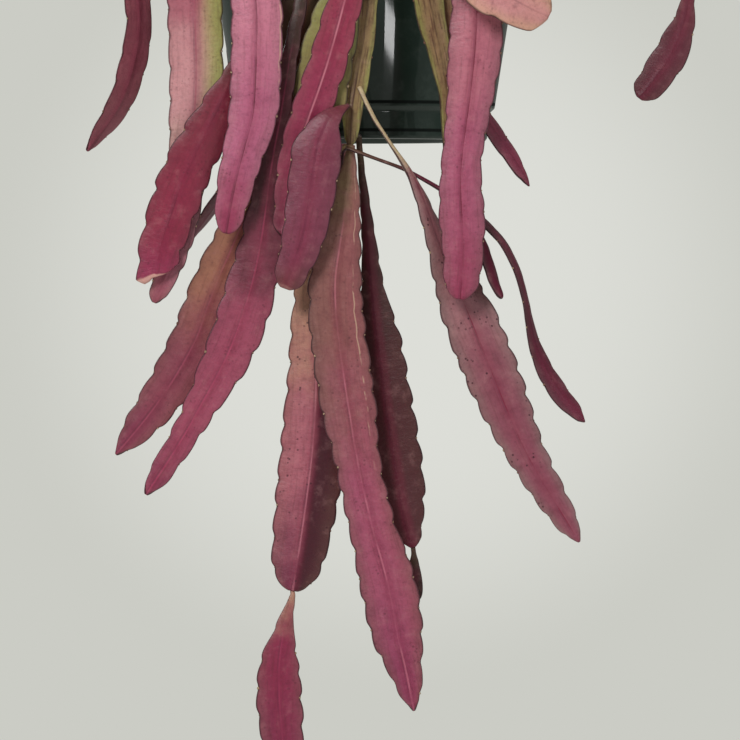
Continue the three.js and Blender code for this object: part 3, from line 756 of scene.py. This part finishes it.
# A painted shadow runs as a dark line along one side of the midrib.
from_rib_shadow = maths(tree, "ABSOLUTE", maths(tree, "ADD", map_axis("span", "X"), 0.6 * MM))
rib_shadow = mask_between(tree, from_rib_shadow, 0.55 * MM, 0.1 * MM)
colour = stained(maths(tree, "MULTIPLY", rib_shadow, rib_fade), 0.3, colour, srgb(74, 20, 44))
from_crack = maths(tree, "MULTIPLY_ADD", drift, 0.3, across)
from_crack = maths(tree, "SUBTRACT", from_crack, entry.outputs["Crack Place"])
crack = mask_between(tree, maths(tree, "ABSOLUTE", from_crack), 0.035, 0.012)
broken = maths(tree, "MULTIPLY", mask_between(tree, noise_value(tree, place, 90, 3), 0.42, 0.5),
               mask_between(tree, down, 0.6, 0.45))
colour = stained(maths(tree, "MULTIPLY", crack, broken), entry.outputs["Crack"], colour, srgb(206, 178, 150))
notch = mask_between(tree, map_axis("wear", "X"), 0.25, 0.9)
colour = stained(maths(tree, "MULTIPLY", mask_between(tree, edge, 0.86, 1.0), notch), 0.75, colour,
                 srgb(58, 30, 30))
colour = stained(mask_between(tree, edge, 0.9, 0.99), 0.78, colour, srgb(42, 14, 24))
scarred = mask_between(tree, maths(tree, "MULTIPLY_ADD", drift, 0.14, map_axis("skin", "Y")), 0.972, 0.984)
colour = stained(scarred, entry.outputs["Scar"], colour, srgb(206, 160, 148))
tree.links.new(colour, leave.inputs["Colour"])
rough = maths(tree, "ADD", maths(tree, "MULTIPLY", cloudy, 0.3), 0.3)
tree.links.new(rough, leave.inputs["Roughness"])
stripes = tree.nodes.new("ShaderNodeMapping")
stripes.inputs["Scale"].default_value = (300, 700, 1)
tree.links.new(span_map.outputs["UV"], stripes.inputs["Vector"])
wrinkle = noise_value(tree, stripes.outputs["Vector"], 1, 4, 0.6)
height = maths(tree, "ADD", maths(tree, "MULTIPLY", wrinkle, 0.8), maths(tree, "MULTIPLY", grain, 0.35))
tree.links.new(height, leave.inputs["Height"])


def skin_finish(name, neck, upper, lower, tip, values):
    """A finish of the skin, with its four colours from the neck to the tip."""
    material, tree, shader = principled(
        name + "_skin", Specular_IOR_Level=0.35, Subsurface_Weight=0.06, Subsurface_Scale=0.002,
    )
    shader.inputs["Subsurface Radius"].default_value = (1.0, 0.35, 0.3)
    colours = {label: srgb(*value) if isinstance(value, tuple) else value for label, value in values.items()}
    node = group_node(tree, skin_group, Neck=srgb(*neck), Upper=srgb(*upper), Lower=srgb(*lower),
                      Tip=srgb(*tip), **colours)
    tree.links.new(node.outputs["Colour"], shader.inputs["Base Color"])
    tree.links.new(node.outputs["Roughness"], shader.inputs["Roughness"])
    bumped(tree, shader, node.outputs["Height"], 0.32 * MM, 0.75)
    return material


PALE_RIB = (206, 130, 146)
finishes = {}
for name, neck, upper, lower, tip, values in (
    ("salmon_green", (160, 96, 100), (166, 94, 108), (194, 138, 142), (224, 196, 180),
     dict(Side=(150, 156, 80), Side_Amount=0.9, Rib=(140, 60, 80), Edge_Amount=0.1, Mottle=0.35)),
    ("wine", (84, 36, 34), (122, 40, 58), (134, 38, 64), (144, 46, 80), dict(Scar=0.8, Edge=(100, 52, 60))),
    ("dusty_rose", (150, 100, 100), (170, 108, 122), (170, 102, 118), (150, 84, 96), {}),
    ("mauve_rose", (184, 118, 128), (190, 114, 136), (174, 92, 122), (152, 62, 92),
     dict(Rib_Amount=0.8, Edge=(156, 106, 118), Edge_Amount=0.4, Crack=0.55, Crack_Place=0.9)),
    ("maroon", (84, 60, 42), (80, 32, 44), (92, 38, 54), (96, 38, 56), dict(Edge_Amount=0.2)),
    ("tan_rose", (156, 132, 92), (156, 104, 84), (138, 68, 84), (126, 54, 78),
     dict(Rib=(164, 76, 100), Rib_Amount=0.5, Side=(166, 92, 104), Side_Amount=0.5, Edge=(104, 76, 66))),
    # The inner fork blade's dark neck and upper colours, carried further down by Delay, are painted shade
    # where the blades in front shade it.
    ("dark_rose", (48, 34, 22), (64, 24, 32), (154, 70, 94), (128, 52, 78),
     dict(Rib=(176, 66, 100), Rib_Amount=0.4, Edge=(110, 64, 74), Edge_Amount=0.2, Delay=0.1)),
    ("spear_rose", (110, 60, 70), (134, 66, 84), (128, 60, 80), (110, 50, 66), dict(Edge_Amount=0.2)),
    ("dark_olive", (80, 74, 40), (66, 54, 32), (80, 62, 36), (86, 58, 42), dict(Speckle=0.1)),
    ("yellow_olive", (120, 120, 60), (146, 144, 78), (148, 134, 82), (146, 110, 84),
     dict(Mottle=0.25, Speckle=0.1, Edge=(110, 112, 66), Flush=0.0, Streak=0.3)),
    ("crimson", (120, 52, 60), (142, 46, 72), (146, 50, 80), (118, 42, 66),
     dict(Rib=PALE_RIB, Rib_Amount=0.6, Edge_Amount=0.2)),
    ("plum", (112, 58, 62), (118, 48, 70), (122, 54, 76), (100, 54, 54),
     dict(Rib=(100, 36, 60), Rib_Amount=0.4, Edge=(102, 60, 72), Scar=0.2)),
    # The long left blade's dark right side is a painted shadow, cast by the long centre blade beside it.
    ("salmon_plum", (176, 154, 112), (186, 142, 116), (166, 92, 106), (112, 44, 68),
     dict(Rib=PALE_RIB, Rib_Amount=0.35, Speckle=0.8, Edge=(126, 92, 80), Edge_Amount=0.3,
          Side=(66, 18, 32), Side_Amount=1.0, Side_Reach=0.2)),
    ("pink_mauve", (136, 112, 84), (132, 84, 80), (158, 76, 102), (138, 56, 88),
     dict(Rib=(206, 124, 142), Rib_Amount=0.4, Speckle=0.4, Edge=(104, 76, 68), Edge_Amount=0.5,
          Side=(158, 74, 92), Side_Amount=0.5, Crack=0.45, Crack_Place=0.66)),
    # The brown finish of the shaded blades is their own dark colour darkened further as painted shade.
    ("brown", (66, 50, 32), (52, 26, 26), (74, 34, 38), (78, 36, 42),
     dict(Rib_Amount=0.35, Edge=(72, 48, 40))),
    ("bright_plum", (170, 126, 106), (134, 42, 72), (128, 42, 72), (112, 36, 62), dict(Rib=(150, 50, 84))),
    ("tan_mauve", (184, 164, 128), (160, 112, 116), (134, 70, 86), (142, 84, 98),
     dict(Rib=(116, 22, 50), Rib_Amount=0.85, Speckle=0.9, Edge=(132, 112, 108), Edge_Amount=0.6,
          Delay=0.06)),
    # The darker neck is a painted shadow, as of the pale blade above the right rose blade.
    ("pink_magenta", (124, 68, 76), (176, 102, 118), (166, 84, 112), (148, 62, 90),
     dict(Rib=(104, 20, 46), Rib_Amount=0.85, Edge=(126, 82, 90), Edge_Amount=0.5)),
    ("peach", (186, 134, 120), (196, 130, 134), (198, 134, 138), (192, 134, 130),
     dict(Side=(194, 158, 118), Side_Amount=0.4, Mottle=0.9, Rib_Amount=0.0, Edge=(206, 172, 130),
          Edge_Amount=0.45, Flush=0.0, Streak=0.05)),
    ("olive_tan", (126, 124, 64), (140, 118, 82), (112, 78, 54), (84, 50, 40),
     dict(Mottle=0.5, Speckle=0.3, Edge=(112, 122, 60), Edge_Amount=0.75, Flush=0.0, Streak=0.5)),
    ("faded_wine", (160, 84, 96), (166, 90, 104), (164, 86, 102), (150, 76, 92), dict(Edge_Amount=0.15)),
    ("deep_wine", (96, 44, 54), (102, 44, 56), (98, 42, 56), (90, 38, 50), dict(Edge_Amount=0.15)),
    ("bark", (104, 86, 58), (162, 136, 98), (152, 124, 88), (136, 114, 76),
     dict(Rib=(70, 40, 28), Rib_Amount=0.9, Mottle=0.7, Speckle=0.5, Edge=(142, 146, 80), Edge_Amount=0.8,
          Flush=0.0, Streak=0.75)),
):
    finishes[name] = skin_finish(name, neck, upper, lower, tip, values)

# Each blade's finish, the side it cups to, how wavy it is, and the pitch and depth of its teeth
BLADES = {
    "segment_left_pale": ("salmon_green", dict(pitch=13, depth=1.0, cup=0.6)),
    "segment_left_wine": ("wine", dict(pitch=13, depth=2.0, cup=-0.8, blunt=4, torn=8)),
    "segment_left_curl": ("dusty_rose", dict(pitch=11, depth=1.0, cup=1.2)),
    "segment_left_rose": ("mauve_rose", dict(pitch=12, depth=0.9, rib=-0.3, cup=-1.0)),
    "segment_left_sliver": ("maroon", dict(pitch=12, depth=0.8)),
    "segment_fork_outer": ("tan_rose", dict(pitch=12, depth=1.5, rib=0.25, point=2, blunt=1.5)),
    "segment_fork_inner": ("dark_rose", dict(pitch=13, depth=1.5, rib=0.25, cup=0.6, point=2, blunt=1.5)),
    "segment_centre_dark": ("dark_olive", dict(pitch=13, depth=1.0)),
    "segment_centre_green": ("yellow_olive", dict(pitch=14, depth=1.2)),
    "segment_centre_crimson": ("crimson", dict(pitch=12, depth=1.2, rib=0.5, cup=0.5)),
    "segment_centre_plum": ("plum", dict(pitch=12, depth=0.9, rib=-0.2, cup=-0.8, blunt=2.6)),
    "segment_long_left": ("salmon_plum", dict(pitch=12, depth=1.5, rib=0.5, cup=-0.7)),
    "segment_long_centre": ("pink_mauve", dict(pitch=11, depth=1.5, rib=0.5, point=2, blunt=1.5)),
    "segment_long_shaded": ("brown", dict(pitch=12, depth=1.8)),
    "segment_shaded_end": ("brown", dict(pitch=12, depth=1.0)),
    "segment_lowest": ("bright_plum", dict(pitch=11, depth=1.4, cup=0.6, point=2, blunt=1.5)),
    "segment_right_ribbon": ("maroon", dict(pitch=12, depth=0.7, wave=0.4, point=2, blunt=1.5)),
    "segment_right_mauve": (
        "tan_mauve", dict(pitch=10.5, depth=1.7, rib=-0.3, cup=-0.6, point=2, blunt=1.5),
    ),
    "segment_right_rose": ("pink_magenta", dict(pitch=11, depth=1.0, rib=-0.3, cup=-1.0)),
    "segment_right_pale": ("peach", dict(pitch=16, depth=1.6, rib=0.1, cup=-1.5)),
    "segment_right_spear": ("spear_rose", dict(pitch=12, depth=0.6, point=2, blunt=1.5)),
    "segment_right_brown": ("olive_tan", dict(pitch=14, depth=1.0)),
    "segment_right_sliver": ("maroon", dict(pitch=12, depth=0.6)),
    "segment_far_left": ("faded_wine", dict(pitch=14, depth=1.0, point=2, blunt=1.5)),
    "segment_far_right": ("deep_wine", dict(pitch=14, depth=1.0)),
    "segment_top_young": ("yellow_olive", dict(pitch=12, depth=0.8)),
}
OTHER_FINISHES = [
    "mauve_rose", "faded_wine", "spear_rose", "pink_magenta", "tan_rose", "plum", "pink_mauve", "crimson",
]

flat_nodes = sorted(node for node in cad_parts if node.startswith("segment_"))
for number, node in enumerate(flat_nodes):
    spare = OTHER_FINISHES[number * 5 % len(OTHER_FINISHES)]
    plain = dict(pitch=12, depth=1.5, cup=(number % 3 - 1) * 0.9, row=COARSE_ROW)
    finish, shape = BLADES.get(node, (spare, plain))
    piece = blade(node + "_blade", line_of(node), number + 1, **shape)
    piece.data.materials.append(finishes[finish])
    finish_mesh(piece, 180)
    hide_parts(node)

# Main stems
# The oldest stems are narrow, tough and corky. They root in the soil, arch over the rim and hang.
main_nodes = sorted(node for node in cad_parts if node.startswith("stem_"))
for number, node in enumerate(main_nodes):
    shape = dict(pitch=19, depth=0.7, rib=0.5, wave=0.3, row=COARSE_ROW)
    piece = blade(node + "_bark", line_of(node), number + 60, **shape)
    piece.data.materials.append(finishes["bark"])
    finish_mesh(piece, 180)
    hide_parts(node)

# Young shoots
# Younger shoots fill the crown. Some stand over the soil and nod, and others arch over the rim and hang
# against the pot's sides and back, each on a narrow neck.
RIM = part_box("pot")[1].x
draw = random.Random(23)


def shoot(name, azimuth, profile, halves, finish, seed, **shape):
    """A blade whose line is a profile of (radius, height) at an azimuth round the pot."""
    azimuth = math.radians(azimuth)
    lean = draw.uniform(-0.35, 0.35)
    centres, across = [], []
    for share, (radius, height) in zip((i / (len(profile) - 1) for i in range(len(profile))), profile):
        turned = azimuth + lean * share * share
        centres.append(Vector((radius * math.sin(turned), -radius * math.cos(turned), height)))
        twist = turned + lean * share
        across.append(Vector((math.cos(twist), math.sin(twist), 0)))
    line = Line(centres, halves, across, 11 * MM)
    piece = blade(name, line, seed, row=COARSE_ROW, **shape)
    piece.data.materials.append(finishes[finish])
    finish_mesh(piece, 180)


NODDING = [
    (12, 58, "tan_rose"), (47, 44, "yellow_olive"), (83, 66, "spear_rose"), (118, 40, "olive_tan"),
    (149, 60, "mauve_rose"), (196, 48, "tan_rose"), (226, 68, "yellow_olive"), (259, 42, "pink_magenta"),
    (294, 56, "spear_rose"), (331, 46, "olive_tan"), (65, 30, "pink_mauve"), (170, 34, "plum"),
]
for number, (azimuth, rise, finish) in enumerate(NODDING):
    root = draw.uniform(8, 20) * MM
    reach = draw.uniform(32, 42) * MM
    top = SOIL_TOP + rise * MM
    profile = [
        (root, SOIL_TOP - 6 * MM), (root + 1 * MM, SOIL_TOP + 10 * MM),
        (root + 0.16 * reach, top - 0.42 * rise * MM), (root + 0.45 * reach, top - 3 * MM),
        (root + 0.85 * reach, top), (root + 1.2 * reach, top - 9 * MM), (root + 1.45 * reach, top - 24 * MM),
    ]
    halves = [width * MM for width in (2.2, 2.4, 3.4, 5.6, 7.2, 7.4, 6)]
    shape = dict(depth=1.2, cup=-0.9 if number % 2 else 0.5, point=1.4)
    shoot(f"young_shoot_{number + 1}", azimuth, profile, halves, finish, 90 + number, **shape)

HANGING = [
    (96, 58, "mauve_rose"), (109, 34, "tan_rose"), (140, 60, "crimson"), (171, 96, "pink_mauve"),
    (180, 50, "spear_rose"), (219, 56, "pink_magenta"), (250, 60, "tan_rose"), (283, 54, "mauve_rose"),
    (148, 36, "yellow_olive"), (228, 30, "plum"), (86, 30, "pink_magenta"), (262, 32, "olive_tan"),
]
for number, (azimuth, drop, finish) in enumerate(HANGING):
    root = draw.uniform(14, 30) * MM
    reach = RIM + draw.uniform(8, 18) * MM
    top = SOIL_TOP + draw.uniform(30, 52) * MM
    low = SOIL_TOP + 12 * MM
    middle = 0.5 * (root + reach)
    profile = [
        (root, SOIL_TOP - 6 * MM), (root + 3 * MM, SOIL_TOP + 12 * MM), (middle - 8 * MM, top - 3 * MM),
        (middle + 10 * MM, top), (reach - 5 * MM, top - 12 * MM), (reach, low),
        (reach + 1 * MM, low - 0.5 * drop * MM), (reach - 1 * MM, low - drop * MM),
    ]
    halves = [width * MM for width in (2.2, 2.3, 2.6, 3.4, 6.5, 8.8, 9.2, 8)]
    shape = dict(depth=1.4, cup=0.8 if number % 3 else -0.8, point=1.5)
    shoot(f"hanging_shoot_{number + 1}", azimuth, profile, halves, finish, 110 + number, **shape)

# Areoles
# A pinch of pale wool sits in every notch of the margins, where buds and new segments grow from.
bpy.ops.object.select_all(action="DESELECT")
bpy.ops.mesh.primitive_ico_sphere_add(subdivisions=1, radius=0.5)
wool = bpy.context.object
wool.name = "areole_wool"
pinches = [wool]
for i in range(len(tufts) - 1):
    copy = wool.copy()
    copy.data = wool.data.copy()
    bpy.context.collection.objects.link(copy)
    pinches.append(copy)
draw = random.Random(11)
for pinch, (spot, out) in zip(pinches, tufts):
    for vertex in pinch.data.vertices:
        vertex.co *= draw.uniform(0.75, 1.25)
    size = draw.uniform(0.55, 1.05) * MM
    pinch.scale = (size, size, size * 1.3)
    pinch.location = spot
bpy.ops.object.select_all(action="DESELECT")
for pinch in pinches:
    pinch.select_set(True)
bpy.context.view_layer.objects.active = wool
bpy.ops.object.join()
areole_wool, tree, shader = principled("areole_wool", Roughness=0.95)
place = tree.nodes.new("ShaderNodeTexCoord").outputs["Object"]
tuft_tone = mask_between(tree, noise_value(tree, place, 130, 2), 0.35, 0.65)
tree.links.new(blended(tree, tuft_tone, srgb(110, 74, 62), srgb(172, 148, 120)), shader.inputs["Base Color"])
bumped(tree, shader, noise_value(tree, place, 4000, 2), 0.2 * MM)
wool.data.materials.append(areole_wool)
finish_mesh(wool, 180)
